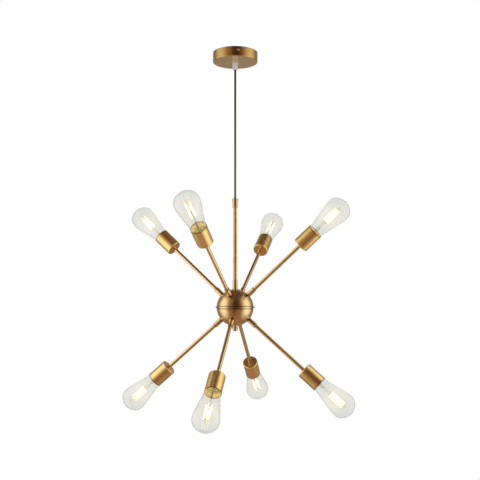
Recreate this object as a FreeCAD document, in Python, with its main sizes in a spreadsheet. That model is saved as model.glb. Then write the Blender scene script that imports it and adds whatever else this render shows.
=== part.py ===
import FreeCAD, Part
import os
from types import SimpleNamespace
from FreeCAD import Placement, Rotation, Vector
import Sketcher

# Ceiling light: a round canopy, a hanging cord, a stem, a split ball and eight arms with lamps.
# Millimetres and degrees. The origin is on the ceiling, on the cord's line, and -Y faces the room.

SIZES = {
    # Ceiling plate and canopy
    "canopyRadius": 59.0,
    "canopyHeight": 25.0,
    "canopyWall": 1.2,
    "canopyRound": 1.5,
    "bracketWidth": 22.0,
    "bracketGap": 1.8,
    "bracketPlate": 2.0,
    "bracketTab": 15.0,
    "slotSpacing": 80.0,
    "slotLength": 10.0,
    "slotRadius": 2.25,
    "cableBore": 6.0,
    "sideScrewDrop": 9.0,
    "sideScrewTurn": 7.6,
    "sideScrewRadius": 1.9,
    "sideScrewLength": 8.0,
    "sideScrewHead": 2.8,
    "sideScrewHeadHeight": 1.8,
    "sideScrewHeadEdge": 0.7,
    "sideScrewHeadTop": 1.7,
    "blockWidth": 14.0,
    "blockLength": 18.0,
    "blockHeight": 14.0,
    "blockStart": 14.0,
    "blockScrewRadius": 2.0,
    "blockScrewDepth": 3.0,
    # Cord and the grip that holds it
    "cordRadius": 2.75,
    "cordDrop": 341.0,
    "gripLength": 20.5,
    "gripMouthRadius": 6.6,
    "gripMouthEdge": 0.8,
    "gripMouthEdgeHeight": 1.2,
    "gripShoulderRadius": 8.3,
    "gripShoulderHeight": 2.0,
    "gripNeckRadius": 5.0,
    "gripNutHeight": 3.0,
    "gripNutRadius": 8.1,
    "gripNutProud": 1.0,
    "tailHeight": 9.0,
    "tailBend": 10.0,
    # Stem between the cord and the ball
    "stemCapRadius": 7.2,
    "stemCapWall": 0.8,
    "stemCapHeight": 15.6,
    "stemCapRoof": 5.5,
    "stemCapChamfer": 1.5,
    "stemNutHeight": 7.9,
    "stemNutChamfer": 1.0,
    "stemNutSeam": 0.5,
    "grubDrop": 3.4,
    "grubRadius": 1.5,
    "grubPointRadius": 0.9,
    "grubPointLength": 0.8,
    "grubProud": 1.3,
    "stemRadius": 5.5,
    "stemBore": 3.4,
    "stemLength": 189.0,
    "stemFlangeRadius": 6.1,
    "stemFlangeHeight": 2.0,
    "stemEngaged": 11.0,
    "neckRadius": 6.6,
    "neckHeight": 22.0,
    "neckChamfer": 0.6,
    # Ball
    "ballRadius": 48.0,
    "ballWall": 1.5,
    "bandHeight": 6.4,
    "bandGroove": 0.8,
    "bandSpigot": 1.6,
    "bandSpigotHeight": 10.0,
    "bandScrewRadius": 1.7,
    "bandScrewProud": 2.4,
    "bandScrewChamfer": 0.5,
    "nippleRadius": 5.0,
    "nippleBore": 3.3,
    "nutRadius": 8.1,
    "nutHeight": 4.0,
    "junctionRadius": 12.0,
    "junctionHeight": 18.0,
    "finialRadius": 7.3,
    "finialNeck": 5.8,
    "finialLength": 13.4,
    "finialSink": 2.0,
    # Arms, sockets and lamps
    "armsInRing": 4,
    "armElevation": 41.25,
    "upperTurn": -23.4,
    "lowerTurn": -13.6,
    "armLength": 188.0,
    "armRadius": 4.8,
    "armBore": 3.4,
    "armInset": 10.0,
    "armSeat": 7.0,
    "collarRadius": 6.5,
    "collarLength": 24.0,
    "collarChamfer": 0.8,
    "leadRadius": 1.6,
    "cupLength": 53.0,
    "cupRadius": 20.5,
    "cupWall": 1.2,
    "cupRound": 2.5,
    "holderRadius": 17.5,
    "holderLength": 40.8,
    "socketRadius": 13.5,
    "socketDepth": 27.0,
    "contactRadius": 3.0,
    "lampBaseRadius": 13.1,
    "lampBaseLength": 24.2,
    "lampBaseFloor": 8.2,
    "lampTipRadius": 4.7,
    "lampTipHeight": 1.2,
    "lampConeHeight": 5.5,
    "lampConeRadius": 11.5,
    "lampShoulder": 1.5,
    "glassWall": 0.9,
    "glassNeckRadius": 12.3,
    "glassThroatRadius": 18.7,
    "glassThroatProud": 1.0,
    "glassFlankRadius": 30.3,
    "glassFlankLength": 60.0,
    "glassFlankArc": 89.0,
    "bulbRadius": 32.0,
    "bellyLength": 17.0,
    "domeLength": 27.0,
    "domeCorner": 22.0,
    "mountFootRadius": 10.6,
    "mountFootEdge": 2.0,
    "mountFootLength": 22.0,
    "mountStemRadius": 2.8,
    "mountStemLength": 38.0,
    "mountRodRadius": 0.8,
    "mountBeadRadius": 2.2,
    "mountBeadRise": 6.0,
    "supportWidth": 1.6,
    "supportHeight": 0.8,
    "filamentRadius": 1.5,
    "filamentLength": 43.5,
    "filamentSpread": 6.8,
    "filamentCount": 4,
    # Clearances: between pieces that move, between pieces of one body, and past a drilled piece
    "runningGap": 0.3,
    "fitGap": 0.1,
    "drillOverrun": 10.0,
}

doc = FreeCAD.newDocument("CeilingLight")
sheet = doc.addObject("Spreadsheet::Sheet", "Sizes")
for row, (alias, number) in enumerate(SIZES.items(), start=1):
    sheet.set(f"A{row}", alias)
    sheet.set(f"B{row}", str(number))
    sheet.setAlias(f"B{row}", alias)
doc.recompute()


# A size holds its number and the sheet formula that gives it, so both stay together through sums.
class Size:
    def __init__(self, value, formula=None):
        self.value = value
        self.formula = formula or str(value)

    def join(self, sign, other, value):
        return Size(value, f"({self.formula} {sign} {other.formula})")

    def __add__(self, other):
        other = asSize(other)
        return self.join("+", other, self.value + other.value)

    def __sub__(self, other):
        other = asSize(other)
        return self.join("-", other, self.value - other.value)

    def __mul__(self, other):
        other = asSize(other)
        return self.join("*", other, self.value * other.value)

    def __truediv__(self, other):
        other = asSize(other)
        return self.join("/", other, self.value / other.value)

    def root(self):
        return Size(self.value ** 0.5, f"sqrt({self.formula})")

    def reach(self, across):
        # The other side of a right triangle: how high a ball's surface stands at a distance across.
        return (self * self - across * across).root()


def asSize(number):
    return number if isinstance(number, Size) else Size(number)


s = SimpleNamespace(**{alias: Size(sheet.get(alias), f"Sizes.{alias}") for alias in SIZES})
ZERO = Size(0)
kept = []


def keep(piece):
    kept.append(piece)
    return piece


def lift(piece, height):
    piece.setExpression("Placement.Base.z", height.formula)
    return piece


def bind(piece, **sizes):
    for name, size in sizes.items():
        piece.setExpression(name, asSize(size).formula)
    return piece


# ---- Sketches and bodies ----

def originPlane(body, role):
    return next(item for item in body.Origin.OriginFeatures if item.Role == role)


def arcBetween(start, end, radius):
    # A positive radius bulges to the right of the way from start to end.
    chord = end - start
    side = Vector(chord.y, -chord.x).normalize()
    rise = abs(radius) - (radius ** 2 - chord.Length ** 2 / 4) ** 0.5
    middle = (start + end) * 0.5 + side * (rise if radius > 0 else -rise)
    return Part.Arc(start, middle, end)


def outline(body, role, corners):
    # Corners are (x, y), or (x, y, radius) where an arc of that radius leads to the next corner.
    sketch = body.newObject("Sketcher::SketchObject", "Outline")
    sketch.AttachmentSupport = [(originPlane(body, role), "")]
    sketch.MapMode = "FlatFace"
    points = [Vector(corner[0].value, corner[1].value) for corner in corners]
    ends = []
    for index, corner in enumerate(corners):
        start, end = points[index], points[(index + 1) % len(points)]
        if len(corner) == 3:
            edge = arcBetween(start, end, corner[2].value)
        else:
            edge = Part.LineSegment(start, end)
        sketch.addGeometry(edge, False)
        forward = (sketch.getPoint(index, 1) - start).Length < 1e-6
        ends.append((1, 2) if forward else (2, 1))
    for index, corner in enumerate(corners):
        following = (index + 1) % len(corners)
        sketch.addConstraint(Sketcher.Constraint(
            "Coincident", index, ends[index][1], following, ends[following][0]))
        for kind, axis, size in (("DistanceX", -2, corner[0]), ("DistanceY", -1, corner[1])):
            if size.value == 0:
                sketch.addConstraint(Sketcher.Constraint("PointOnObject", index, ends[index][0], axis))
            else:
                place = sketch.addConstraint(
                    Sketcher.Constraint(kind, -1, 1, index, ends[index][0], size.value))
                sketch.setExpression(f"Constraints[{place}]", size.formula)
        if len(corner) == 3:
            radius = Size(abs(corner[2].value), f"abs({corner[2].formula})")
            place = sketch.addConstraint(Sketcher.Constraint("Radius", index, radius.value))
            sketch.setExpression(f"Constraints[{place}]", radius.formula)
    return sketch


def turned(label, corners):
    # A piece turned about Z from an outline of (radius, height) corners.
    body = doc.addObject("PartDesign::Body", label)
    sketch = outline(body, "XZ_Plane", corners)
    turn = body.newObject("PartDesign::Revolution", "Turned")
    turn.Profile = sketch
    turn.ReferenceAxis = (sketch, ["V_Axis"])
    turn.Angle = 360
    return body


def sleeve(label, outer, inner, bottom, top):
    return turned(label, [(inner, bottom), (outer, bottom), (outer, top), (inner, top)])


def rod(label, radius, bottom, length):
    cylinder = doc.addObject("Part::Cylinder", label)
    bind(cylinder, Radius=radius, Height=length)
    return lift(cylinder, bottom)


def globe(label, radius):
    return bind(doc.addObject("Part::Sphere", label), Radius=radius)


def hexNut(label, across, bore, bottom, height):
    prism = doc.addObject("Part::Prism", label + "Hexagon")
    bind(prism, Circumradius=across, Height=height)
    return cut(label, lift(prism, bottom), rod(label + "Hole", bore, bottom, height))


def cut(label, base, tool):
    piece = doc.addObject("Part::Cut", label)
    piece.Base = base
    piece.Tool = tool
    return piece


def fuse(label, pieces):
    piece = doc.addObject("Part::MultiFuse", label)
    piece.Shapes = pieces
    return piece


def group(label, pieces):
    piece = doc.addObject("Part::Compound", label)
    piece.Links = pieces
    return piece


def placed(label, piece, placement):
    copy = group(label, [piece])
    copy.Placement = placement
    return copy


# ---- Heights of the hanging stack, from the ceiling down ----

canopyFloor = ZERO - s.canopyHeight
gripMouth = canopyFloor - s.gripLength
stemTop = gripMouth - s.cordDrop
stemCapFoot = stemTop - s.stemCapHeight
stemNutFoot = stemCapFoot - s.stemNutHeight
neckTop = stemNutFoot - s.stemLength
ballCentre = neckTop - s.neckHeight - s.ballRadius
cordBore = s.cordRadius + s.runningGap
bracketReach = s.canopyRadius - s.canopyWall - s.bracketGap


# ---- Ceiling plate, canopy and what is inside it ----

def acrossTool(label, radius):
    # A drill along the side screws' line, from one side of the canopy to the other.
    tool = rod(label, radius, ZERO, (s.canopyRadius + s.drillOverrun) * 2)
    reach = s.canopyRadius.value + s.drillOverrun.value
    turn = Rotation(Vector(0, 0, 1), s.sideScrewTurn.value)
    line = turn.multVec(Vector(0, -1, 0))
    tool.setExpression("Placement.Base.z", None)
    tool.Placement = Placement(line * reach - Vector(0, 0, s.sideScrewDrop.value),
                               turn * Rotation(Vector(1, 0, 0), -90))
    return tool


def makeCeilingBracket():
    body = doc.addObject("PartDesign::Body", "bracketStrip")
    length = bracketReach * 2
    inner = length - s.bracketPlate
    below = s.bracketTab - s.bracketPlate
    strip = outline(body, "YZ_Plane", [
        (ZERO, ZERO), (s.bracketPlate, ZERO), (s.bracketPlate, below), (inner, below),
        (inner, ZERO), (length, ZERO), (length, s.bracketTab), (ZERO, s.bracketTab)])
    pad = body.newObject("PartDesign::Pad", "Strip")
    pad.Profile = strip
    bind(pad, Length=s.bracketWidth)
    middle = s.bracketWidth / 2
    for side in (-1, 1):
        centre = bracketReach + s.slotSpacing / 2 * side
        straight = s.slotLength / 2 - s.slotRadius
        end = s.slotLength / 2
        slot = outline(body, "XY_Plane", [
            (middle + s.slotRadius, centre - straight),
            (middle + s.slotRadius, centre + straight, s.slotRadius),
            (middle, centre + end, s.slotRadius),
            (middle - s.slotRadius, centre + straight),
            (middle - s.slotRadius, centre - straight, s.slotRadius),
            (middle, centre - end, s.slotRadius)])
        pocket = body.newObject("PartDesign::Pocket", "Slot")
        pocket.Profile = slot
        pocket.Type = "ThroughAll"
        pocket.Reversed = True
    body.Placement = Placement(
        Vector(-middle.value, -bracketReach.value, -s.bracketTab.value), Rotation())
    bore = rod("bracketBore", s.cableBore, ZERO - s.bracketPlate - s.drillOverrun,
               s.bracketPlate + s.drillOverrun * 2)
    drills = fuse("bracketDrills", [bore, acrossTool("bracketSideDrill", s.sideScrewRadius + s.fitGap)])
    return keep(cut("ceiling_bracket", body, drills))


def makeCanopy():
    inside = s.canopyRadius - s.canopyWall
    shell = lift(turned("canopyShell", [
        (s.gripNeckRadius + s.fitGap, ZERO),
        (s.canopyRadius - s.canopyRound, ZERO, s.canopyRound),
        (s.canopyRadius, s.canopyRound),
        (s.canopyRadius, s.canopyHeight),
        (inside, s.canopyHeight),
        (inside, s.canopyWall),
        (s.gripNeckRadius + s.fitGap, s.canopyWall)]), canopyFloor)
    return keep(cut("canopy", shell, acrossTool("canopySideDrill", s.sideScrewRadius + s.runningGap)))


def makeSideScrews():
    domeStart = s.canopyRadius + s.fitGap
    screw = turned("sideScrew", [
        (ZERO, domeStart - s.sideScrewLength),
        (s.sideScrewRadius, domeStart - s.sideScrewLength),
        (s.sideScrewRadius, domeStart),
        (s.sideScrewHead, domeStart),
        (s.sideScrewHead, domeStart + s.sideScrewHeadEdge),
        (s.sideScrewHeadTop, domeStart + s.sideScrewHeadHeight),
        (ZERO, domeStart + s.sideScrewHeadHeight)])
    screws = []
    for side in (-90, 90):
        turn = Rotation(Vector(0, 0, 1), side + s.sideScrewTurn.value) * Rotation(Vector(0, 1, 0), 90)
        screws.append(placed(f"sideScrew{side + 90}", screw,
                             Placement(Vector(0, 0, -s.sideScrewDrop.value), turn)))
    return keep(group("canopy_side_screws", screws))


def makeCordGrip():
    neckTopHeight = s.gripLength + s.canopyWall + s.gripNutHeight + s.gripNutProud
    keep(lift(turned("cord_grip", [
        (cordBore, ZERO),
        (s.gripMouthRadius - s.gripMouthEdge, ZERO),
        (s.gripMouthRadius, s.gripMouthEdgeHeight),
        (s.gripShoulderRadius, s.gripLength - s.gripShoulderHeight),
        (s.gripShoulderRadius, s.gripLength),
        (s.gripNeckRadius, s.gripLength),
        (s.gripNeckRadius, neckTopHeight),
        (cordBore, neckTopHeight)]), gripMouth))
    keep(hexNut("grip_nut", s.gripNutRadius, s.gripNeckRadius + s.fitGap,
                canopyFloor + s.canopyWall, s.gripNutHeight))


def makeTerminalBlock():
    box = doc.addObject("Part::Box", "blockBody")
    bind(box, Length=s.blockWidth, Width=s.blockLength, Height=s.blockHeight)
    box.Placement = Placement(Vector(-s.blockWidth.value / 2, s.blockStart.value,
                                     -s.bracketPlate.value - s.blockHeight.value), Rotation())
    wells = []
    for column in (-1, 1):
        for line in (-1, 1):
            well = rod("blockWell", s.blockScrewRadius, ZERO, s.blockScrewDepth)
            well.setExpression("Placement.Base.z", None)
            well.Placement = Placement(Vector(
                column * s.blockWidth.value / 4,
                s.blockStart.value + s.blockLength.value * (0.5 + 0.25 * line),
                -s.bracketPlate.value - s.blockHeight.value), Rotation())
            wells.append(well)
    return keep(cut("terminal_block", box, fuse("blockWells", wells)))


def makeCordTail():
    # The cord inside the grip and canopy: up through the grip, one bend, then into the block.
    start = gripMouth.value + cordBore.value
    corner = -s.tailHeight.value
    bend = s.tailBend.value
    end = s.blockStart.value
    middle = bend * (1 - 0.5 ** 0.5)
    path = Part.Wire([
        Part.LineSegment(Vector(0, 0, start), Vector(0, 0, corner - bend)).toShape(),
        Part.Arc(Vector(0, 0, corner - bend), Vector(0, middle, corner - middle),
                 Vector(0, bend, corner)).toShape(),
        Part.LineSegment(Vector(0, bend, corner), Vector(0, end, corner)).toShape()])
    section = Part.Wire(Part.Circle(Vector(0, 0, start), Vector(0, 0, 1), s.cordRadius.value).toShape())
    tail = doc.addObject("Part::Feature", "cord_tail")
    tail.Shape = path.makePipeShell([section], True, True)
    return keep(tail)


# ---- Cord and stem ----

def makeCord():
    # Both ends are half balls about the points where the cord flexes.
    radius = s.cordRadius
    return keep(lift(turned("pendant_cord", [
        (ZERO, ZERO, radius),
        (radius, radius),
        (radius, radius + s.cordDrop, radius),
        (ZERO, radius * 2 + s.cordDrop)]), stemTop - radius))


def makeStemCap():
    cavity = s.stemCapRadius - s.stemCapWall
    shell = turned("stemCapBody", [
        (cavity, ZERO),
        (s.stemCapRadius, ZERO),
        (s.stemCapRadius, s.stemCapHeight - s.stemCapChamfer),
        (s.stemCapRadius - s.stemCapChamfer, s.stemCapHeight),
        (cordBore, s.stemCapHeight),
        (cordBore, s.stemCapHeight - s.stemCapRoof),
        (cavity, s.stemCapHeight - s.stemCapRoof)])
    lift(shell, stemCapFoot)
    reach = s.stemCapRadius + s.drillOverrun
    drill = rod("grubDrill", s.grubRadius + s.fitGap, ZERO, reach * 2)
    drill.setExpression("Placement.Base.z", None)
    height = stemTop.value - s.grubDrop.value
    drill.Placement = Placement(Vector(-reach.value, 0, height), Rotation(Vector(0, 1, 0), 90))
    keep(cut("stem_cap", shell, drill))
    grubs = []
    for side in (0, 180):
        grub = turned(f"grub{side}", [
            (ZERO, cordBore), (s.grubPointRadius, cordBore), (s.grubRadius, cordBore + s.grubPointLength),
            (s.grubRadius, s.stemCapRadius + s.grubProud), (ZERO, s.stemCapRadius + s.grubProud)])
        grub.Placement = Placement(Vector(0, 0, height),
                                   Rotation(Vector(0, 0, 1), side) * Rotation(Vector(0, 1, 0), 90))
        grubs.append(grub)
    keep(group("stem_cap_screws", grubs))
    keep(lift(turned("stem_cap_nut", [
        (s.stemRadius + s.runningGap, ZERO),
        (s.stemCapRadius - s.stemNutChamfer, ZERO),
        (s.stemCapRadius, s.stemNutChamfer),
        (s.stemCapRadius, s.stemNutHeight - s.stemNutSeam),
        (s.stemCapRadius - s.stemNutSeam, s.stemNutHeight),
        (s.stemRadius + s.runningGap, s.stemNutHeight)]), stemNutFoot))


def makeStem():
    foot = s.neckHeight - s.stemEngaged
    flange = s.stemEngaged + s.stemLength + s.stemNutHeight + s.fitGap
    keep(lift(turned("stem_tube", [
        (s.stemBore, ZERO),
        (s.stemRadius, ZERO),
        (s.stemRadius, flange),
        (s.stemFlangeRadius, flange),
        (s.stemFlangeRadius, flange + s.stemFlangeHeight),
        (s.stemBore, flange + s.stemFlangeHeight)]), neckTop - s.stemEngaged))
    leadTop = stemTop - s.stemCapRoof - s.runningGap
    keep(rod("stem_lead", s.cordRadius, ballCentre, leadTop - ballCentre))
    sleeveBody = turned("neckSleeve", [
        (s.nippleRadius + s.fitGap, ZERO),
        (s.neckRadius, ZERO),
        (s.neckRadius, s.ballRadius + s.neckHeight - s.neckChamfer),
        (s.neckRadius - s.neckChamfer, s.ballRadius + s.neckHeight),
        (s.stemRadius + s.fitGap, s.ballRadius + s.neckHeight),
        (s.stemRadius + s.fitGap, s.ballRadius + foot),
        (s.nippleRadius + s.fitGap, s.ballRadius + foot)])
    collar = cut("neckSeated", sleeveBody, globe("neckSeat", s.ballRadius + s.fitGap))
    keep(placed("neck_collar", collar, Placement(Vector(0, 0, ballCentre.value), Rotation())))


# ---- Arms: each piece is made along +Z from the ball's centre, then turned to its arm ----

def armPlacements():
    # The upper ring comes first, then the lower one, each counted round from its first arm.
    step = 360 / s.armsInRing.value
    centre = Vector(0, 0, ballCentre.value)
    placements = []
    for elevation, turn in ((s.armElevation, s.upperTurn), (Size(-s.armElevation.value), s.lowerTurn)):
        for place in range(int(s.armsInRing.value)):
            rotation = (Rotation(Vector(0, 0, 1), turn.value + step * place)
                        * Rotation(Vector(0, 1, 0), 90 - elevation.value))
            placements.append(Placement(centre, rotation))
    return placements


ARMS = armPlacements()
RINGS = {"upper": ARMS[:len(ARMS) // 2], "lower": ARMS[len(ARMS) // 2:]}


def onArms(label, piece, placements):
    copies = [placed(f"{label}_{place}", piece, placement)
              for place, placement in enumerate(placements, start=1)]
    return keep(group(label, copies))


def onEachArm(label, piece):
    for place, placement in enumerate(ARMS, start=1):
        keep(placed(f"{label}_{place}", piece, placement))


# Distances along an arm from the ball's centre.
armHole = s.armRadius + s.fitGap
armStart = s.ballRadius - s.armInset
cupStart = s.ballRadius + s.armLength
cupFloor = cupStart + s.cupWall
socketFloor = cupFloor + s.holderLength - s.socketDepth
lampTip = socketFloor + s.contactRadius + s.runningGap
lampFloor = lampTip + s.lampBaseFloor
lampRim = lampTip + s.lampBaseLength
cupMouth = cupStart + s.cupLength


def makeArms():
    tube = sleeve("armTube", s.armRadius, s.armBore, armStart, cupFloor + s.armSeat)
    for ring, placements in RINGS.items():
        onArms(f"{ring}_arm_tubes", tube, placements)
    collarEnd = s.ballRadius + s.collarLength
    collar = turned("armCollar", [
        (armHole, s.ballRadius / 2),
        (s.collarRadius, s.ballRadius / 2),
        (s.collarRadius, collarEnd - s.collarChamfer),
        (s.collarRadius - s.collarChamfer, collarEnd),
        (armHole, collarEnd)])
    onArms("arm_collars", cut("armCollarSeated", collar, globe("armSeat", s.ballRadius + s.fitGap)), ARMS)
    nutSeat = (s.ballRadius - s.ballWall).reach(s.nutRadius) - s.fitGap
    nut = hexNut("armNut", s.nutRadius, armHole, nutSeat - s.nutHeight, s.nutHeight)
    onArms("arm_lock_nuts", nut, ARMS)


def makeCups():
    inside = s.cupRadius - s.cupWall
    cup = turned("socketCup", [
        (armHole, cupStart),
        (s.cupRadius - s.cupRound, cupStart, s.cupRound),
        (s.cupRadius, cupStart + s.cupRound),
        (s.cupRadius, cupMouth),
        (inside, cupMouth),
        (inside, cupFloor),
        (armHole, cupFloor)])
    onEachArm("socket_cup", cup)
    holder = turned("lampholder", [
        (ZERO, cupFloor + s.armSeat),
        (armHole, cupFloor + s.armSeat),
        (armHole, cupFloor),
        (s.holderRadius, cupFloor),
        (s.holderRadius, cupFloor + s.holderLength),
        (s.socketRadius, cupFloor + s.holderLength),
        (s.socketRadius, socketFloor),
        (s.contactRadius, socketFloor),
        (s.contactRadius, lampTip - s.runningGap),
        (ZERO, lampTip - s.runningGap)])
    onArms("lampholders", holder, ARMS)


def makeBulbs():
    base = turned("lampBase", [
        (ZERO, lampTip),
        (s.lampTipRadius, lampTip),
        (s.lampTipRadius, lampTip + s.lampTipHeight),
        (s.lampConeRadius, lampTip + s.lampConeHeight),
        (s.lampBaseRadius, lampTip + s.lampConeHeight + s.lampShoulder),
        (s.lampBaseRadius, lampRim),
        (s.glassNeckRadius + s.fitGap, lampRim),
        (s.glassNeckRadius + s.fitGap, lampFloor),
        (ZERO, lampFloor)])
    onEachArm("bulb_cap", base)
    throat = cupMouth + s.glassThroatProud
    flank = throat + s.glassFlankLength
    belly = flank + s.bellyLength
    tip = belly + s.domeLength

    def glassSide(wall):
        # The end is a corner arc and a dome arc that meet smoothly.
        radius, corner, rise = s.bulbRadius - wall, s.domeCorner - wall, s.domeLength - wall
        inset = radius - corner
        dome = (inset * inset + rise * rise - corner * corner) / ((rise - corner) * 2)
        share = dome / (dome - corner)
        return [
            (s.glassNeckRadius - wall, lampFloor),
            (s.glassNeckRadius - wall, lampRim),
            (s.glassThroatRadius - wall, throat),
            (s.glassFlankRadius - wall, flank, s.glassFlankArc - wall),
            (radius, belly, corner),
            (inset * share, belly + rise - dome + (dome - rise) * share, dome),
            (ZERO, tip - wall)]

    outer = glassSide(ZERO)
    inner = glassSide(s.glassWall)
    # The inner side runs back from the tip, so each arc belongs to the corner before it.
    back = [(ZERO, inner[-1][1])]
    for index in range(len(inner) - 2, -1, -1):
        back.append(inner[index][:2])
    for index in range(len(inner) - 1):
        if len(inner[index]) == 3:
            place = len(inner) - 2 - index
            back[place] = (*back[place], inner[index][2] * -1)
    onEachArm("bulb_glass", turned("bulbGlass", outer + back))
    makeFilaments()


def makeFilaments():
    # A glass foot and stem carry two stars of supports, with the light sticks between them.
    stemTip = lampFloor + s.mountFootLength + s.mountStemLength
    stickStart = stemTip + s.supportHeight
    stickEnd = stickStart + s.filamentLength
    beadHeight = stickEnd + s.supportHeight + s.mountBeadRise
    supportReach = s.filamentSpread + s.filamentRadius
    pieces = [
        turned("mountFoot", [
            (ZERO, lampFloor),
            (s.mountFootRadius, lampFloor),
            (s.mountFootRadius, lampFloor + s.mountFootEdge),
            (s.mountStemRadius, lampFloor + s.mountFootLength),
            (s.mountStemRadius, stemTip),
            (ZERO, stemTip)]),
        rod("mountRod", s.mountRodRadius, stemTip, beadHeight - stemTip),
        lift(globe("mountBead", s.mountBeadRadius), beadHeight)]
    count = int(s.filamentCount.value)
    for place in range(count):
        turn = Rotation(Vector(0, 0, 1), 360 / count * place)
        stick = rod("filament", s.filamentRadius, ZERO, s.filamentLength)
        stick.setExpression("Placement.Base.z", None)
        stick.Placement = Placement(
            turn.multVec(Vector(s.filamentSpread.value, 0, stickStart.value)), turn)
        pieces.append(stick)
        for height in (stemTip, stickEnd):
            support = doc.addObject("Part::Box", "support")
            bind(support, Length=supportReach, Width=s.supportWidth, Height=s.supportHeight)
            support.Placement = Placement(
                turn.multVec(Vector(0, -s.supportWidth.value / 2, height.value)), turn)
            pieces.append(support)
    onEachArm("bulb_filament", fuse("filamentMount", pieces))


# ---- Ball ----

def makeShell(label, placements, upward):
    # One half of the ball, turned as an upper half and drilled for its own ring of arms.
    inner = s.ballRadius - s.ballWall
    rim = s.bandHeight / 2
    shoulder = rim + s.bandGroove
    hole = s.nippleRadius + s.fitGap
    dome = turned(label + "Dome", [
        (inner.reach(rim), rim),
        (s.ballRadius - s.bandGroove, rim),
        (s.ballRadius.reach(shoulder), shoulder, s.ballRadius),
        (hole, s.ballRadius.reach(hole)),
        (hole, inner.reach(hole), inner * -1)])
    half = Placement(Vector(0, 0, ballCentre.value), Rotation(Vector(1, 0, 0), 0 if upward else 180))
    drill = rod(label + "Drill", armHole, s.ballRadius / 2, s.ballRadius)
    drills = [placed(label + "Drill1", drill, placement) for placement in placements]
    return keep(cut(label, placed(label + "Half", dome, half), fuse(label + "Drills", drills)))


def makeBand():
    # The band and both halves of the ball are bevelled where they meet: that makes two grooves.
    ledge = s.ballRadius - s.ballWall - s.fitGap
    ledgeRim = ledge.reach(s.bandSpigotHeight / 2) - s.fitGap
    half = s.bandHeight / 2
    middle = s.bandSpigotHeight / 2
    ring = lift(turned("ballBandRing", [
        (ledgeRim - s.bandSpigot, ZERO),
        (ledgeRim, ZERO),
        (ledgeRim, middle - half),
        (s.ballRadius - s.bandGroove, middle - half),
        (s.ballRadius, middle - half + s.bandGroove),
        (s.ballRadius, middle + half - s.bandGroove),
        (s.ballRadius - s.bandGroove, middle + half),
        (ledgeRim, middle + half),
        (ledgeRim, s.bandSpigotHeight),
        (ledgeRim - s.bandSpigot, s.bandSpigotHeight)]), ballCentre - middle)
    reach = s.ballRadius + s.drillOverrun
    drill = rod("bandDrill", s.bandScrewRadius + s.fitGap, ZERO, reach * 2)
    drill.setExpression("Placement.Base.z", None)
    drill.Placement = Placement(Vector(-reach.value, 0, ballCentre.value), Rotation(Vector(0, 1, 0), 90))
    keep(cut("ball_band", ring, drill))
    screws = []
    for side in (0, 180):
        screw = turned(f"bandScrew{side}", [
            (ZERO, ledgeRim - s.bandSpigot),
            (s.bandScrewRadius, ledgeRim - s.bandSpigot),
            (s.bandScrewRadius, s.ballRadius + s.bandScrewProud - s.bandScrewChamfer),
            (s.bandScrewRadius - s.bandScrewChamfer, s.ballRadius + s.bandScrewProud),
            (ZERO, s.ballRadius + s.bandScrewProud)])
        screw.Placement = Placement(Vector(0, 0, ballCentre.value),
                                    Rotation(Vector(0, 0, 1), side) * Rotation(Vector(0, 1, 0), 90))
        screws.append(screw)
    keep(group("band_screws", screws))


def makeBallCore():
    # A hollow threaded rod ties the collar above the ball to the knob below it.
    top = s.ballRadius + s.neckHeight - s.stemEngaged
    below = s.ballRadius + s.finialLength / 2
    keep(lift(sleeve("centre_nipple", s.nippleRadius, s.nippleBore, ZERO, top + below),
              ballCentre - below))
    nutSeat = (s.ballRadius - s.ballWall).reach(s.nutRadius) - s.fitGap
    nut = hexNut("nippleNut", s.nutRadius, s.nippleRadius + s.fitGap,
                 nutSeat - s.nutHeight, s.nutHeight)
    nuts = [placed(f"nippleNut{turn}", nut, Placement(Vector(0, 0, ballCentre.value),
                                                      Rotation(Vector(1, 0, 0), turn)))
            for turn in (0, 180)]
    keep(group("nipple_nuts", nuts))
    junction = sleeve("wire_junction", s.junctionRadius, s.nippleRadius + s.fitGap, ZERO, s.junctionHeight)
    keep(lift(junction, ballCentre - s.junctionHeight / 2))
    tool = rod("junctionTool", s.junctionRadius + s.fitGap,
               ballCentre - s.junctionHeight / 2 - s.fitGap, s.junctionHeight + s.fitGap * 2)
    leadStart = s.junctionRadius / 2
    lead = rod("lampLead", s.leadRadius, leadStart, cupFloor + s.armSeat - leadStart)
    leads = [placed(f"lampLead{place}", lead, placement) for place, placement in enumerate(ARMS)]
    keep(cut("lamp_leads", group("lampLeads", leads), tool))


def makeFinial():
    # The knob hangs under the ball: a short neck that widens into a round end.
    ball = s.finialRadius
    end = s.ballRadius + s.finialLength
    knob = end - ball
    start = knob - (ball * ball - s.finialNeck * s.finialNeck).root()
    shape = turned("finialKnob", [
        (ZERO, s.ballRadius - s.finialSink),
        (s.finialNeck, s.ballRadius - s.finialSink),
        (s.finialNeck, start, ball),
        (ball, knob, ball),
        (ZERO, end)])
    bore = rod("finialBore", s.nippleRadius + s.fitGap, s.ballRadius / 2,
               s.ballRadius / 2 + s.finialLength / 2 + s.fitGap)
    seat = globe("finialSeat", s.ballRadius + s.fitGap)
    seated = cut("finialSeated", shape, fuse("finialTools", [bore, seat]))
    keep(placed("finial", seated, Placement(Vector(0, 0, ballCentre.value), Rotation(Vector(1, 0, 0), 180))))


makeCeilingBracket()
makeCanopy()
makeSideScrews()
makeCordGrip()
makeTerminalBlock()
makeCordTail()
makeCord()
makeStemCap()
makeStem()
makeShell("ball_upper_shell", RINGS["upper"], True)
makeShell("ball_lower_shell", RINGS["lower"], False)
makeBand()
makeBallCore()
makeFinial()
makeArms()
makeCups()
makeBulbs()
doc.recompute()

failed = [item.Name for item in doc.Objects if "Invalid" in item.State or "Error" in item.State]
failed += [item.Label for item in kept if item.Shape.isNull() or not item.Shape.isValid()]
failed += [item.Label for item in kept if not item.Shape.Solids]
if failed:
    raise RuntimeError("these pieces did not build: " + ", ".join(failed))

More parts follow.
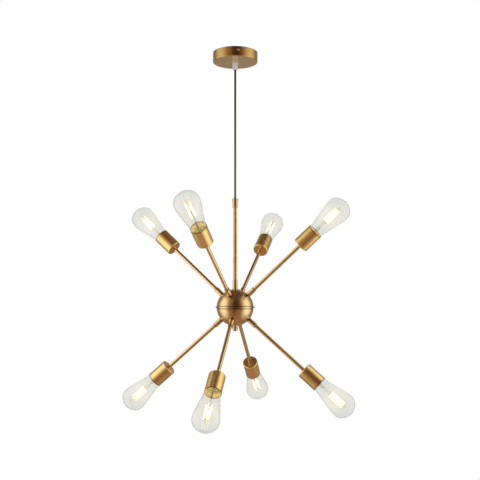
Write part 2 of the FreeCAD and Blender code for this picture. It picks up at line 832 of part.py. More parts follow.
os.makedirs("parts", exist_ok=True)
for piece in kept:
    solids = piece.Shape.Solids
    shape = solids[0] if len(solids) == 1 else Part.makeCompound(solids)
    shape.exportStep(f"parts/{piece.Label}.step")
    print(f"{piece.Label}: {len(solids)} solid(s), {sum(solid.Volume for solid in solids):.1f} mm3")
print(len(kept), "pieces")
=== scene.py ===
import math

import bmesh
import bpy
from mathutils import Matrix, Vector


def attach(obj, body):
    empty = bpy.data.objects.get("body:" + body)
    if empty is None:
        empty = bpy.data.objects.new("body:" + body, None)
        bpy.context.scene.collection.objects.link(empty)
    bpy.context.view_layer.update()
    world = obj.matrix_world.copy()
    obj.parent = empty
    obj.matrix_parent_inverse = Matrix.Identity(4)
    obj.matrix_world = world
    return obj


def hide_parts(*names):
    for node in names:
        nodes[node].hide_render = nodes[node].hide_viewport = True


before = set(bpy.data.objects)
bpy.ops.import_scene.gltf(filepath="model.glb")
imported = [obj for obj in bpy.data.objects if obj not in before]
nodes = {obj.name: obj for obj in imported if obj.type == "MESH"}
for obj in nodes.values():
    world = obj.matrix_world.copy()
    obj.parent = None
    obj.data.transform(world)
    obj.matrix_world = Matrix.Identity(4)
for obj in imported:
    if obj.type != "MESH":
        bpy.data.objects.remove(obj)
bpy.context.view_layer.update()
scene = bpy.context.scene
print("frame:", len(nodes), "nodes")

hang = {  # metres and degrees, as in the part's source
    "ballHeight": -0.669,
    "armElevation": 41.25,
    "upperTurn": -23.4,
    "lowerTurn": -13.6,
    "armsInRing": 4,
}


def armMatrices():  # each takes a piece made along +Z from the ball's centre to its arm
    centre = Matrix.Translation((0, 0, hang["ballHeight"]))
    rings = ((hang["armElevation"], hang["upperTurn"]), (-hang["armElevation"], hang["lowerTurn"]))
    found = []
    for elevation, turn in rings:
        over = Matrix.Rotation(math.radians(90 - elevation), 4, "Y")
        for place in range(hang["armsInRing"]):
            around = Matrix.Rotation(math.radians(turn + 360 / hang["armsInRing"] * place), 4, "Z")
            found.append(centre @ around @ over)
    return found


arms = armMatrices()
lampNumbers = range(1, len(arms) + 1)


# Camera

camera = {  # metres, degrees and millimetres, fitted to the outlines in the photograph
    "place": (0, -1.9413, -0.6292),
    "tilt": 93.96,
    "turn": -0.37,
    "lens": 56.2,
    "sensor": 36,
    "reach": 50,
}


def makeCamera():
    data = bpy.data.cameras.new("camera")
    data.lens = camera["lens"]
    data.sensor_width = camera["sensor"]
    data.clip_end = camera["reach"]
    made = bpy.data.objects.new("camera", data)
    made.location = camera["place"]
    made.rotation_euler = (math.radians(camera["tilt"]), 0, math.radians(camera["turn"]))
    scene.collection.objects.link(made)
    scene.camera = made


makeCamera()
scene.view_settings.view_transform = "Standard"
print("camera set")


# Shader nodes

class Value:  # a node's output that can be used in sums
    def __init__(self, tree, socket):
        self.tree = tree
        self.socket = socket

    def out(self, name):  # another output of the same node
        return Value(self.tree, self.socket.node.outputs[name])

    def __add__(self, other):
        return self.tree.maths("ADD", self, other)

    def __radd__(self, other):
        return self.tree.maths("ADD", other, self)

    def __sub__(self, other):
        return self.tree.maths("SUBTRACT", self, other)

    def __rsub__(self, other):
        return self.tree.maths("SUBTRACT", other, self)

    def __mul__(self, other):
        return self.tree.maths("MULTIPLY", self, other)

    def __rmul__(self, other):
        return self.tree.maths("MULTIPLY", other, self)


class Tree:
    def __init__(self, nodeTree):
        self.nodes = nodeTree.nodes
        self.links = nodeTree.links
        self.nodes.clear()

    def node(self, kind, settings=None, inputs=None, output=0):
        made = self.nodes.new("ShaderNode" + kind)
        for name, setting in (settings or {}).items():
            setattr(made, name, setting)
        for name, value in (inputs or {}).items():
            if isinstance(value, Value):
                self.links.new(value.socket, made.inputs[name])
            else:
                made.inputs[name].default_value = value
        return Value(self, made.outputs[output]) if len(made.outputs) else None

    def maths(self, operation, *numbers):
        return self.node("Math", {"operation": operation}, dict(enumerate(numbers)))

    def mix(self, factor, first, second):
        return self.node("Mix", {"data_type": "RGBA"}, {"Factor": factor, 6: first, 7: second}, 2)

    def ease(self, value, start, end):  # 0 at start to 1 at end, smoothly
        return self.node("MapRange", {"interpolation_type": "SMOOTHSTEP"},
                         {"Value": value, "From Min": start, "From Max": end})

    def band(self, value, up, down):  # eases up from 0 to 1, then down again
        return self.ease(value, *up) * (1 - self.ease(value, *down))

    def noise(self, place, scale, detail):
        return self.node("TexNoise", None, {"Vector": place, "Scale": scale, "Detail": detail})

    def lineNoise(self, along, scale, detail):  # changes with one number alone
        return self.node("TexNoise", {"noise_dimensions": "1D"},
                         {"W": along, "Scale": scale, "Detail": detail})

    def bump(self, height, strength, depth):
        return self.node("Bump", None, {"Strength": strength, "Distance": depth, "Height": height})

    def parts(self, vector):
        apart = self.node("SeparateXYZ", None, {0: vector})
        return apart, apart.out("Y"), apart.out("Z")

    def length(self, vector):
        return self.node("VectorMath", {"operation": "LENGTH"}, {0: vector}, "Value")

    def vector(self, operation, first, second, output="Vector"):
        return self.node("VectorMath", {"operation": operation}, {0: first, 1: second}, output)


def colour(red, green, blue):
    return (red, green, blue, 1)


def newFinish(name):
    material = bpy.data.materials.new(name)
    material.use_nodes = True
    return material, Tree(material.node_tree)


def finishOf(name, build, constants):  # build fills in the sockets that change over the surface
    material, tree = newFinish(name)
    shader = tree.node("BsdfPrincipled", None, {**constants, **build(tree)})
    tree.node("OutputMaterial", None, {"Surface": shader})
    return material


def objectPlace(tree):
    return tree.node("TexCoord", output="Object")


def fromBall(tree, place):
    return tree.vector("SUBTRACT", place, (0, 0, hang["ballHeight"]))


def armDistance(tree, place):  # how far along an arm a point is: its distance from the ball's centre
    return tree.length(fromBall(tree, place))


def ringPlace(tree, place):  # radius and height: the same all round the lamp's own axis
    x, y, z = tree.parts(place)
    return tree.node("CombineXYZ", None, {"X": tree.maths("SQRT", x * x + y * y), "Z": z})


def turnAround(tree, place):  # radians round the lamp's own axis
    x, y, z = tree.parts(place)
    return tree.maths("ARCTAN2", y, x)


# Brass, brushed round each piece's own axis

brassLook = {
    "bright": colour(0.86, 0.66, 0.36),
    "middle": colour(0.80, 0.58, 0.28),
    "deep": colour(0.50, 0.27, 0.09),  # in the brushed lines
    "canopy": colour(0.70, 0.41, 0.09),  # tones mixed into each piece's brass: painted shade on the canopy, painted light on the arms and cups, a deeper tone on the ball
    "ball": colour(0.78, 0.50, 0.16),
    "arm": colour(1.0, 0.71, 0.31),
    "cup": colour(1.0, 0.68, 0.25),
    "cloudScale": 30,
    "cloudEdges": (0.35, 0.68),
    "streakEdges": (0.30, 0.55),
    "streakShare": 0.20,
    "linePitch": 0.00035,
    "bandPitch": 0.0014,
    "lineShare": 0.6,  # of fine lines, the rest being broad bands
    "lineDepth": 0.000003,
    "lineStrength": 0.8,
    "roughnessSwing": 0.12,
}
paintedShade = {  # painted shade in the band's grooves, at the arms' roots, where the tubes leave the collars and along the cups' mouths, in metres from the ball's middle or along an arm
    "look": colour(0.13, 0.060, 0.025),
    "bandGroove": ((0.0021, 0.0026), (0.0038, 0.0043)),
    "bandGrooveShare": 0.9,
    "collarFoot": (0.0485, 0.0540),
    "collarFootShare": 0.75,
    "collarFront": ((0.0695, 0.0705), (0.0728, 0.0738)),
    "collarFrontShare": 0.5,
    "cupRim": ((0.2872, 0.2880), (0.2910, 0.2918)),
    "cupRimShare": 0.8,
}
cupLook = {  # edges are in how far a face looks away from the ball, in metres
    "rear": colour(0.55, 0.33, 0.17),  # painted shade on the closed end, which faces the ball
    "rearEdges": (-0.15, -0.22),
    "rearShare": 0.45,
    "insideEdges": ((-0.088, -0.080), (-0.014, -0.006)),
    "insideLit": colour(0.56, 0.47, 0.17),  # by the lamp
    "insideDim": colour(0.24, 0.21, 0.075),
    "mottleScale": 190,
    "mottleEdges": (0.40, 0.62),
}
metal = {"Metallic": 1.0, "Coat Weight": 0.25, "Coat Roughness": 0.12}


def brushed(tree, place, noise, where, tone, share, roughness):  # lines cross the way that where changes
    fine = noise(where, 1 / brassLook["linePitch"], 3.0)
    broad = noise(where, 1 / brassLook["bandPitch"], 2.0)
    lines = fine * brassLook["lineShare"] + broad * (1 - brassLook["lineShare"])
    worn = tree.ease(tree.noise(place, brassLook["cloudScale"], 3.0), *brassLook["cloudEdges"])
    base = tree.mix(share, tree.mix(worn, brassLook["middle"], brassLook["bright"]), brassLook[tone])
    streak = 1 - tree.ease(lines, *brassLook["streakEdges"])
    return {
        "Base Color": tree.mix(streak * brassLook["streakShare"], base, brassLook["deep"]),
        "Roughness": roughness + (broad - 0.5) * brassLook["roughnessSwing"],
        "Normal": tree.bump(lines, brassLook["lineStrength"], brassLook["lineDepth"]),
    }


def brassTurned(tone, share, roughness, grooved=False):
    def build(tree):
        place = objectPlace(tree)
        found = brushed(tree, place, tree.noise, ringPlace(tree, place), tone, share, roughness)
        if grooved:
            x, y, z = tree.parts(fromBall(tree, place))
            # painted shade in the band's grooves
            dark = tree.band(tree.maths("ABSOLUTE", z), *paintedShade["bandGroove"]) * paintedShade["bandGrooveShare"]
            found["Base Color"] = tree.mix(dark, found["Base Color"], paintedShade["look"])
        return found
    return build


def brassTube(tone, share, roughness):
    def build(tree):
        place = objectPlace(tree)
        along = armDistance(tree, place)
        found = brushed(tree, place, tree.lineNoise, along, tone, share, roughness)
        # painted shade at the arm's root by the ball and in a line where the tube leaves its collar
        foot = (1 - tree.ease(along, *paintedShade["collarFoot"])) * paintedShade["collarFootShare"]
        front = tree.band(along, *paintedShade["collarFront"]) * paintedShade["collarFrontShare"]
        found["Base Color"] = tree.mix(foot + front, found["Base Color"], paintedShade["look"])
        return found
    return build


def brassCup(tone, share, roughness):
    def build(tree):
        place = objectPlace(tree)
        along = armDistance(tree, place)
        found = brushed(tree, place, tree.lineNoise, along, tone, share, roughness)
        normal = tree.node("TexCoord", output="Normal")
        facing = tree.vector("DOT_PRODUCT", normal, fromBall(tree, place), "Value")
        # painted shade on faces turned to the ball
        rear = tree.ease(facing, *cupLook["rearEdges"]) * cupLook["rearShare"]
        base = tree.mix(rear, found["Base Color"], cupLook["rear"])
        # painted shade in a line along the cup's mouth
        rim = tree.band(along, *paintedShade["cupRim"]) * paintedShade["cupRimShare"]
        found["Base Color"] = tree.mix(rim, base, paintedShade["look"])
        mottle = tree.ease(tree.noise(place, cupLook["mottleScale"], 3.0), *cupLook["mottleEdges"])
        lit = tree.mix(mottle, cupLook["insideDim"], cupLook["insideLit"])
        inside = tree.band(facing, *cupLook["insideEdges"])
        found["Emission Color"] = tree.mix(inside, colour(0, 0, 0), lit)  # the lamp's own light in the cup
        return found
    return build


# the tones make the canopy darker, painted shade, and the arms and cups lighter, painted light
brassBody = finishOf("brushedBrass", brassTurned("ball", 0.15, 0.24), metal)
brassCanopy = finishOf("canopyBrass", brassTurned("canopy", 0.6, 0.22), metal)
brassBall = finishOf("groovedBrass", brassTurned("ball", 0.35, 0.21, grooved=True), metal)
brassTubes = finishOf("satinBrass", brassTube("arm", 0.8, 0.18), metal)
brassCups = finishOf("spunBrass", brassCup("cup", 0.85, 0.33), {**metal, "Emission Strength": 1.0})


# Plain finishes, two colours clouded together

plainLooks = {  # base, the other colour, clouds in a metre, roughness
    "zincSteel": (colour(0.62, 0.63, 0.64), colour(0.45, 0.46, 0.47), 150, 0.32),
    "darkScrew": (colour(0.10, 0.08, 0.06), colour(0.16, 0.12, 0.08), 400, 0.35),
    "whitePlastic": (colour(0.80, 0.79, 0.76), colour(0.72, 0.71, 0.68), 90, 0.42),
    "leadSheath": (colour(0.62, 0.55, 0.42), colour(0.52, 0.46, 0.34), 120, 0.45),
    "holderResin": (colour(0.50, 0.40, 0.14), colour(0.40, 0.33, 0.12), 170, 0.35),
    "lampCapMetal": (colour(0.74, 0.66, 0.42), colour(0.62, 0.54, 0.32), 160, 0.24),
    "lampCement": (colour(0.52, 0.44, 0.17), colour(0.30, 0.28, 0.12), 210, 0.5),
    "lampCapInsulator": (colour(0.02, 0.02, 0.022), colour(0.05, 0.05, 0.05), 200, 0.2),
    "supportWire": (colour(0.70, 0.62, 0.45), colour(0.58, 0.50, 0.34), 300, 0.28),
}
plainGrain = {
    "cloudEdges": (0.35, 0.65),
    "glowEdges": (0.42, 0.60),
    "finer": 12,  # grain to a cloud
    "depth": 0.00003,
    "strength": 0.5,
    "roughnessSwing": 0.08,
}


def plainFinish(name, metallic=0.0, lit=False):
    base, other, scale, roughness = plainLooks[name]

    def build(tree):
        place = objectPlace(tree)
        cloud = tree.noise(place, scale, 4.0)
        grain = tree.noise(place, scale * plainGrain["finer"], 2.0)
        found = {
            "Base Color": tree.mix(tree.ease(cloud, *plainGrain["cloudEdges"]), base, other),
            "Roughness": roughness + (cloud - 0.5) * plainGrain["roughnessSwing"],
            "Normal": tree.bump(grain, plainGrain["strength"], plainGrain["depth"]),
        }
        if lit:  # by the lamp in front of it
            glow = tree.ease(cloud, *plainGrain["glowEdges"])
            found["Emission Color"] = tree.mix(glow, cupLook["insideLit"], cupLook["insideDim"])
        return found

    constants = {"Metallic": metallic}
    if lit:
        constants["Emission Strength"] = 1.0
    return finishOf(name, build, constants)


zincSteel = plainFinish("zincSteel", metallic=1.0)
darkScrew = plainFinish("darkScrew", metallic=1.0)
whitePlastic = plainFinish("whitePlastic")
leadSheath = plainFinish("leadSheath")
holderResin = plainFinish("holderResin", lit=True)
capMetal = plainFinish("lampCapMetal", metallic=1.0, lit=True)
capCement = plainFinish("lampCement", lit=True)
capInsulator = plainFinish("lampCapInsulator")
wireNickel = plainFinish("supportWire", metallic=1.0)


# Cord grip and cord

gripLook = {
    "pale": colour(0.92, 0.84, 0.83),
    "clear": colour(0.97, 0.94, 0.94),
    "cloudScale": 220,
    "ribs": 22.0,
    "ribDepth": 0.0002,
    "ribStrength": 0.7,
    "roughness": 0.3,
    "roughnessSwing": 0.1,
    "clearness": 0.35,
}


def gripBuild(tree):  # moulded nylon with fine upright ribs
    place = objectPlace(tree)
    ribs = tree.maths("SINE", turnAround(tree, place) * gripLook["ribs"])
    cloud = tree.noise(place, gripLook["cloudScale"], 3.0)
    return {
        "Base Color": tree.mix(cloud, gripLook["pale"], gripLook["clear"]),
        "Roughness": gripLook["roughness"] + (cloud - 0.5) * gripLook["roughnessSwing"],
        "Normal": tree.bump(ribs, gripLook["ribStrength"], gripLook["ribDepth"]),
    }


cordLook = {
    "lowHollow": colour(0.120, 0.108, 0.022),
    "lowCrown": colour(0.148, 0.134, 0.034),
    "highHollow": colour(0.052, 0.047, 0.005),
    "highCrown": colour(0.068, 0.062, 0.009),
    "fade": (-0.36, -0.06),  # heights of the low look and the high look
    "cores": 2.0,
    "lay": 1400.0,  # radians of twist in a metre
    "layEdges": (-0.9, 0.9),
    "layDepth": 0.0001,
    "layStrength": 0.15,
    "roughness": 0.52,
    "roughnessSwing": 0.06,
}


def cordBuild(tree):  # a clear sheath over twisted cores
    place = objectPlace(tree)
    height = tree.parts(place)[2]
    twist = turnAround(tree, place) * cordLook["cores"] + height * cordLook["lay"]
    crown = tree.ease(tree.maths("SINE", twist), *cordLook["layEdges"])
    # darker in the hollows between the cores, painted shade
    low = tree.mix(crown, cordLook["lowHollow"], cordLook["lowCrown"])
    high = tree.mix(crown, cordLook["highHollow"], cordLook["highCrown"])
    return {
        "Base Color": tree.mix(tree.ease(height, *cordLook["fade"]), low, high),
        "Roughness": cordLook["roughness"] + crown * cordLook["roughnessSwing"],
        "Normal": tree.bump(crown, cordLook["layStrength"], cordLook["layDepth"]),
    }


clearNylon = finishOf("clearNylon", gripBuild, {"Transmission Weight": gripLook["clearness"], "IOR": 1.5})
cordSheath = finishOf("cordSheath", cordBuild, {"Specular IOR Level": 0.0})


# Lamp glass and glowing sticks

glassLook = {
    "cool": colour(0.858, 0.870, 0.850),
    "warm": colour(0.936, 0.922, 0.864),
    "warmEdges": ((0.295, 0.335), (0.345, 0.380)),  # along the arm, round the sticks
    "rippleScale": 26,
    "rippleDepth": 0.0003,
    "rippleStrength": 0.05,
}
mountLook = {
    "amber": colour(0.84, 0.80, 0.70),
    "clear": colour(0.90, 0.87, 0.78),
    "rippleScale": 240,
    "rippleDepth": 0.0002,
    "rippleStrength": 0.2,
}
stickLook = {
    "coat": colour(0.80, 0.60, 0.25),
    "chip": colour(0.88, 0.70, 0.34),
    "coatGlow": colour(1.0, 0.90, 0.66),
    "chipGlow": colour(1.0, 0.96, 0.80),
    "tipGlow": colour(0.78, 0.66, 0.46),
    "tipEdges": (0.342, 0.366),  # along the arm
    "chips": 4200.0,  # radians in a metre
    "glow": 1.6,
}


def glassBuild(tree):  # faint green, warmer where the sticks shine through it
    place = objectPlace(tree)
    warm = tree.band(armDistance(tree, place), *glassLook["warmEdges"])
    ripple = tree.noise(place, glassLook["rippleScale"], 1.0)
    return {
        "Base Color": tree.mix(warm, glassLook["cool"], glassLook["warm"]),
        "Normal": tree.bump(ripple, glassLook["rippleStrength"], glassLook["rippleDepth"]),
    }


def mountBuild(tree):
    ripple = tree.noise(objectPlace(tree), mountLook["rippleScale"], 2.0)
    return {
        "Base Color": tree.mix(ripple, mountLook["amber"], mountLook["clear"]),
        "Normal": tree.bump(ripple, mountLook["rippleStrength"], mountLook["rippleDepth"]),
    }


def stickBuild(tree):  # a glowing coat, a little uneven, as its many small chips make it
    along = armDistance(tree, objectPlace(tree))
    chip = tree.ease(tree.maths("SINE", along * stickLook["chips"]), -1.0, 1.0)
    glow = tree.mix(chip, stickLook["coatGlow"], stickLook["chipGlow"])
    return {
        "Base Color": tree.mix(chip, stickLook["coat"], stickLook["chip"]),
        "Emission Color": tree.mix(tree.ease(along, *stickLook["tipEdges"]), glow, stickLook["tipGlow"]),
    }


clearGlass = finishOf("lampGlass", glassBuild, {"Transmission Weight": 1.0, "Roughness": 0.0, "IOR": 1.46})
mountGlass = finishOf("mountGlass", mountBuild, {"Transmission Weight": 1.0, "Roughness": 0.02, "IOR": 1.5})
stickGlow = finishOf("stickGlow", stickBuild, {"Roughness": 0.5, "Emission Strength": stickLook["glow"]})
print("finishes made:", len(bpy.data.materials))


# Finishes of the pieces that stay as they are

keptFinishes = {
    brassCanopy: ["canopy"],
    brassBody: ["stem_cap", "stem_cap_nut", "stem_cap_screws", "stem_tube", "neck_collar", "finial",
                "canopy_side_screws", "centre_nipple"],
    brassBall: ["ball_upper_shell", "ball_lower_shell", "ball_band"],
    brassTubes: ["upper_arm_tubes", "lower_arm_tubes", "arm_collars"],
    brassCups: [f"socket_cup_{number}" for number in lampNumbers],
    zincSteel: ["ceiling_bracket", "arm_lock_nuts", "nipple_nuts"],
    darkScrew: ["band_screws"],
    clearNylon: ["cord_grip"],
    whitePlastic: ["terminal_block", "wire_junction", "grip_nut"],
    leadSheath: ["stem_lead", "lamp_leads"],
    cordSheath: ["cord_tail"],
    holderResin: ["lampholders"],
    clearGlass: [f"bulb_glass_{number}" for number in lampNumbers],
}
for finish, names in keptFinishes.items():
    for name in names:
        slots = nodes[name].data.materials
        for place in range(len(slots)):
            slots[place] = finish
print("CAD pieces finished")


# Modelling helpers

def edgesAlong(bm, outline):  # outline is (radius, height) points in metres
    points = [bm.verts.new((radius, 0, height)) for radius, height in outline]
    return points + [bm.edges.new(pair) for pair in zip(points, points[1:])]


def spun(bm, outline, steps, material=0):
    start = edgesAlong(bm, outline)
    before = set(bm.faces)
    bmesh.ops.spin(bm, geom=start, cent=(0, 0, 0), axis=(0, 0, 1), angle=math.tau, steps=steps,
                   use_merge=True)
    for face in set(bm.faces) - before:
        face.material_index = material


def settled(bm):
    bmesh.ops.remove_doubles(bm, verts=bm.verts, dist=1e-6)
    bmesh.ops.recalc_face_normals(bm, faces=bm.faces)


def makePiece(bm, name, body, finishes, matrix=None, sharp=38):
    mesh = bpy.data.meshes.new(name)
    bm.to_mesh(mesh)
    bm.free()
    if matrix is not None:
        mesh.transform(matrix)
    for finish in finishes:
        mesh.materials.append(finish)
    mesh.shade_smooth()
    mesh.set_sharp_from_angle(angle=math.radians(sharp))
    piece = bpy.data.objects.new(name, mesh)
    scene.collection.objects.link(piece)
    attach(piece, body)
    return piece


def rod(bm, radius, length, sides, matrix):
    return bmesh.ops.create_cone(bm, cap_ends=True, segments=sides, radius1=radius, radius2=radius,
                                 depth=length, matrix=matrix)


# Cord, between the grip and the stem cap

cordSizes = {
    "radius": 0.00275,
    "top": -0.0455,
    "foot": -0.3865,
    "nearEnd": 0.033,
    "bevelSteps": 6,
    "curveSteps": 12,
    "endShare": 0.99,  # of the radius, in the rounded ends
    "endSides": 32,
}


def makeCord():
    top, foot = cordSizes["top"], cordSizes["foot"]
    curve = bpy.data.curves.new("hanging_cord", "CURVE")
    curve.dimensions = "3D"
    curve.bevel_depth = cordSizes["radius"]
    curve.bevel_resolution = cordSizes["bevelSteps"]
    curve.resolution_u = cordSizes["curveSteps"]
    curve.use_fill_caps = True
    line = curve.splines.new("NURBS")
    heights = [top, top - cordSizes["nearEnd"], foot + cordSizes["nearEnd"], foot]
    line.points.add(len(heights) - 1)
    for point, height in zip(line.points, heights):
        point.co = (0, 0, height, 1)
    line.order_u = 3
    line.use_endpoint_u = True
    curve.materials.append(cordSheath)
    cord = bpy.data.objects.new("hanging_cord", curve)
    scene.collection.objects.link(cord)
    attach(cord, "cord")
    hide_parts("pendant_cord")
    bm = bmesh.new()  # rounded ends
    sides, radius = cordSizes["endSides"], cordSizes["radius"] * cordSizes["endShare"]
    for height in (top, foot):
        bmesh.ops.create_uvsphere(bm, u_segments=sides, v_segments=sides // 2, radius=radius,
                                  matrix=Matrix.Translation((0, 0, height)))
    ends = makePiece(bm, "cord_ends", "cord", [cordSheath])


makeCord()
print("cord made")


# Lamp caps, along +Z from the ball's centre

capSizes = {
    "tip": 0.2543,
    "cone": 0.2598,
    "floor": 0.2622,
    "threadTop": 0.2755,
    "rim": 0.2785,
    "root": 0.01245,
    "crest": 0.01305,
    "pitch": 0.0036,
    "turns": 3.3,
    "threadRise": 0.0006,  # of the thread's start over the cone
    # one turn of the thread, in shares of its depth and pitch
    "wave": [(0, 0), (0.5, 0.17), (1, 0.36), (1, 0.52), (0.5, 0.71), (0, 0.88), (0, 1)],
    "sides": 40,
}


def cutThread(bm):
    root, pitch, turns = capSizes["root"], capSizes["pitch"], capSizes["turns"]
    depth = capSizes["crest"] - root
    start = capSizes["cone"] + capSizes["threadRise"]
    outline = [(root + depth * out, start + pitch * up) for out, up in capSizes["wave"]]
    steps = int(capSizes["sides"] * turns)
    bmesh.ops.spin(bm, geom=edgesAlong(bm, outline), cent=(0, 0, 0), axis=(0, 0, 1),
                   dvec=(0, 0, pitch * turns / steps), angle=math.tau * turns, steps=steps, use_merge=False)


def makeCap(number, matrix):
    root, crest, rim = capSizes["root"], capSizes["crest"], capSizes["rim"]
    tip, cone, floor, threadTop = capSizes["tip"], capSizes["cone"], capSizes["floor"], capSizes["threadTop"]
    shell = [(root - 0.0004, cone), (root, cone), (root, threadTop - 0.001), (crest - 0.0003, threadTop),
             (crest, rim - 0.0004), (crest - 0.0004, rim), (root + 0.0002, rim)]
    contact = [(0, tip), (0.0030, tip), (0.0043, tip + 0.0005), (0.0047, tip + 0.0012)]
    insulator = [(0.0045, tip + 0.0010), (0.0060, tip + 0.0016), (0.0090, tip + 0.0036),
                 (0.0112, cone - 0.0004), (root - 0.0002, cone + 0.0001)]
    cement = [(0, floor), (0.0119, floor), (0.0123, floor + 0.0002)]
    turned = ((shell, capMetal), (contact, capMetal), (insulator, capInsulator), (cement, capCement))
    finishes = [capMetal, capInsulator, capCement]
    bm = bmesh.new()
    cutThread(bm)
    for outline, finish in turned:
        spun(bm, outline, capSizes["sides"], finishes.index(finish))
    settled(bm)
    cap = makePiece(bm, f"lamp_cap_{number}", f"bulb_{number}", finishes, matrix)
    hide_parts(f"bulb_cap_{number}")


# Lamp mounts, which carry the sticks

mountSizes = {
    "floor": 0.2626,
    "flare": 0.0103,
    "press": 0.3010,
    "pressZone": (-0.0075, 0.0015),
    "pressFlat": 0.55,  # of its width
    "hub": 0.3225,
    "crown": 0.3674,
    "bead": 0.3736,
    "beadRadius": 0.0021,
    "sides": 32,
    "leadApart": 0.0022,
    "leadSpread": 0.0030,
    "leadRadius": 0.0003,
    "starStart": 0.0012,
    "starRadius": 0.0004,
    "claspRadius": 0.0006,
    "claspGrip": 0.0010,
    "wireSides": 8,
}
stickSizes = {
    "count": 4,
    "spread": 0.0068,
    "start": 0.3238,
    "end": 0.3664,
    "radius": 0.00145,
    "sides": 14,
    "rounding": 0.0004,
}


def wire(bm, start, end, radius):
    start, end = Vector(start), Vector(end)
    way = end - start
    turn = Vector((0, 0, 1)).rotation_difference(way.normalized()).to_matrix().to_4x4()
    rod(bm, radius, way.length, mountSizes["wireSides"], Matrix.Translation((start + end) / 2) @ turn)


def stickTurn(place, size):
    return Matrix.Rotation(math.tau / stickSizes["count"] * place, size, "Z")


def makeMountGlass(number, matrix):  # flare, pinched press and the rod that carries the sticks
    floor, flare, press = mountSizes["floor"], mountSizes["flare"], mountSizes["press"]
    hub, crown, bead, beadRadius = (mountSizes[name] for name in ("hub", "crown", "bead", "beadRadius"))
    outside = [
        (flare, floor), (flare - 0.0008, floor + 0.0016), (0.0072, floor + 0.0055),
        (0.0050, floor + 0.0110), (0.0038, floor + 0.0180),
        (0.0034, press - 0.0060), (0.0036, press - 0.0020), (0.0028, press + 0.0012),
        (0.0012, press + 0.0030), (0.0009, press + 0.0080),
        (0.0009, hub - 0.0020), (0.0021, hub - 0.0008), (0.0021, hub + 0.0008), (0.0008, hub + 0.0020),
        (0.0007, crown - 0.0012), (0.0016, crown - 0.0004), (0.0016, crown + 0.0006),
        (0.0007, crown + 0.0014),
        (0.0007, bead - 0.0020), (0.0017, bead - 0.0012), (beadRadius, bead), (0.0017, bead + 0.0012),
        (0.0008, bead + 0.0019), (0, bead + beadRadius),
    ]
    hollow = [
        (0, floor + 0.0150), (0.0018, floor + 0.0140), (0.0040, floor + 0.0085),
        (0.0062, floor + 0.0048), (flare - 0.0016, floor + 0.0008), (flare, floor),
    ]
    bm = bmesh.new()
    spun(bm, outside, mountSizes["sides"])
    spun(bm, hollow, mountSizes["sides"])
    settled(bm)
    below, above = mountSizes["pressZone"]
    for vert in bm.verts:  # the press is flat, as pliers leave it
        if press + below < vert.co.z < press + above:
            vert.co.y *= mountSizes["pressFlat"]
    glass = makePiece(bm, f"lamp_mount_{number}", f"bulb_{number}", [mountGlass], matrix, 60)
    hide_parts(f"bulb_filament_{number}")


def makeWires(number, matrix):  # leads, and a star of support wires at each end of the sticks
    floor, press, hub, crown = (mountSizes[name] for name in ("floor", "press", "hub", "crown"))
    near, far, spread = mountSizes["leadApart"], mountSizes["leadSpread"], stickSizes["spread"]
    bm = bmesh.new()
    for side in (-1, 1):
        way = [(side * near, 0, floor + 0.0040), (side * near, 0, press), (side * far, 0, hub - 0.0030),
               (side * spread, 0, hub + 0.0006)]
        for start, end in zip(way, way[1:]):
            wire(bm, start, end, mountSizes["leadRadius"])
    grip = mountSizes["claspGrip"]
    for place in range(stickSizes["count"]):
        turn = stickTurn(place, 3)
        foot = turn @ Vector((spread, 0, 0))
        for height, end in ((hub, stickSizes["start"] + grip), (crown, stickSizes["end"] - grip)):
            start = turn @ Vector((mountSizes["starStart"], 0, height))
            wire(bm, start, foot + Vector((0, 0, height + 0.0001)), mountSizes["starRadius"])
            wire(bm, foot + Vector((0, 0, height)), foot + Vector((0, 0, end)), mountSizes["claspRadius"])
    settled(bm)
    makePiece(bm, f"lamp_wires_{number}", f"bulb_{number}", [wireNickel], matrix, 50)


def makeSticks(number, matrix):
    start, end = stickSizes["start"], stickSizes["end"]
    bm = bmesh.new()
    for place in range(stickSizes["count"]):
        centre = stickTurn(place, 4) @ Matrix.Translation((stickSizes["spread"], 0, (start + end) / 2))
        stick = set(rod(bm, stickSizes["radius"], end - start, stickSizes["sides"], centre)["verts"])
        rims = [edge for edge in bm.edges
                if stick.issuperset(edge.verts) and abs(edge.verts[0].co.z - edge.verts[1].co.z) < 1e-6]
        bmesh.ops.bevel(bm, geom=rims, offset=stickSizes["rounding"], offset_type="OFFSET", segments=2,
                        profile=0.5, affect="EDGES", material=-1)
    settled(bm)
    makePiece(bm, f"lamp_sticks_{number}", f"bulb_{number}", [stickGlow], matrix, 50)


for number, matrix in zip(lampNumbers, arms):
    makeCap(number, matrix)
    makeMountGlass(number, matrix)
    makeWires(number, matrix)
    makeSticks(number, matrix)
print("lamps made:", len(arms))


# Studio: soft boxes and cards at both sides, a pale floor and a white background

